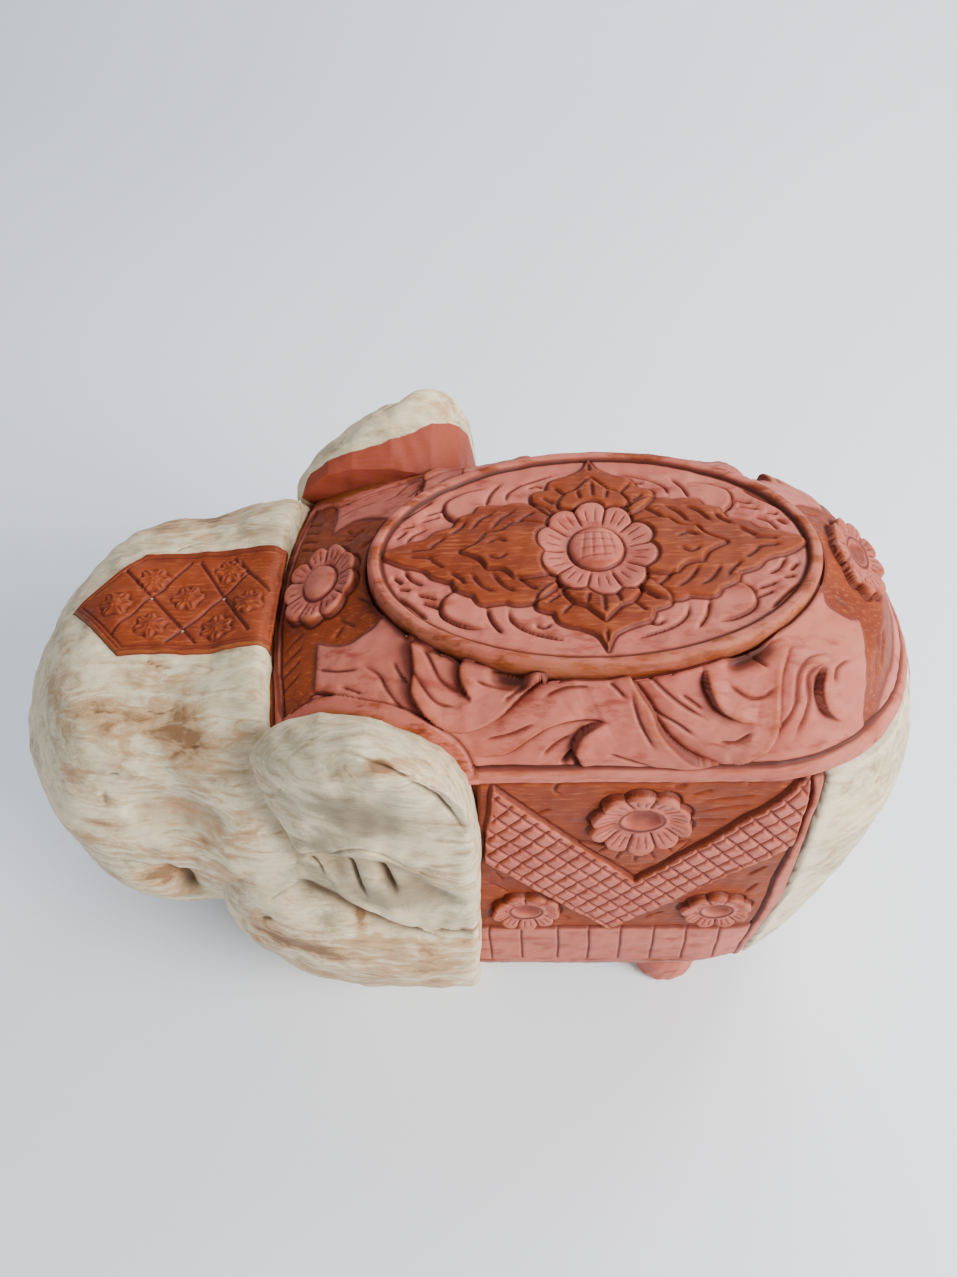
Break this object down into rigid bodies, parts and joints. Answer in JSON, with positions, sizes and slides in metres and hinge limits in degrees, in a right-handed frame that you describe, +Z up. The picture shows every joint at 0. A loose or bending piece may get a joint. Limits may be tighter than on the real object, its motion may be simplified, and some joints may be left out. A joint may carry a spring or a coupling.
{
  "type": "carved wooden elephant",
  "caption": "Hand-carved, whitewashed wooden elephant with a painted, carved saddle blanket and a raised oval seat; stands on its own feet.",
  "frame": {"origin": "on the floor under the middle of the overall box", "axes": "+X from the head to the rump, +Y to the elephant's right side, +Z up"},
  "size_m": [0.3856, 0.2058, 0.2482],
  "materials": {
    "blanket_paint": "satin",
    "seat_paint": "satin",
    "whitewashed_wood": "satin",
    "foot_paint": "satin",
    "raw_dowel": "matte"
  },
  "bodies": {
    "root": {"body_block": "blanket_paint", "seat_panel": "seat_paint", "head_block": "whitewashed_wood", "left_ear": "whitewashed_wood", "right_ear": "whitewashed_wood", "left_front_leg": "whitewashed_wood", "right_front_leg": "whitewashed_wood", "left_hind_foot": "foot_paint", "right_hind_foot": "foot_paint", "neck_dowel_left": "raw_dowel", "neck_dowel_right": "raw_dowel", "ear_dowel_left": "raw_dowel", "ear_dowel_right": "raw_dowel", "leg_dowel_left": "raw_dowel", "leg_dowel_right": "raw_dowel", "foot_dowel_left": "raw_dowel", "foot_dowel_right": "raw_dowel", "seat_dowel_front": "raw_dowel", "seat_dowel_rear": "raw_dowel"}
  },
  "joints": []
}
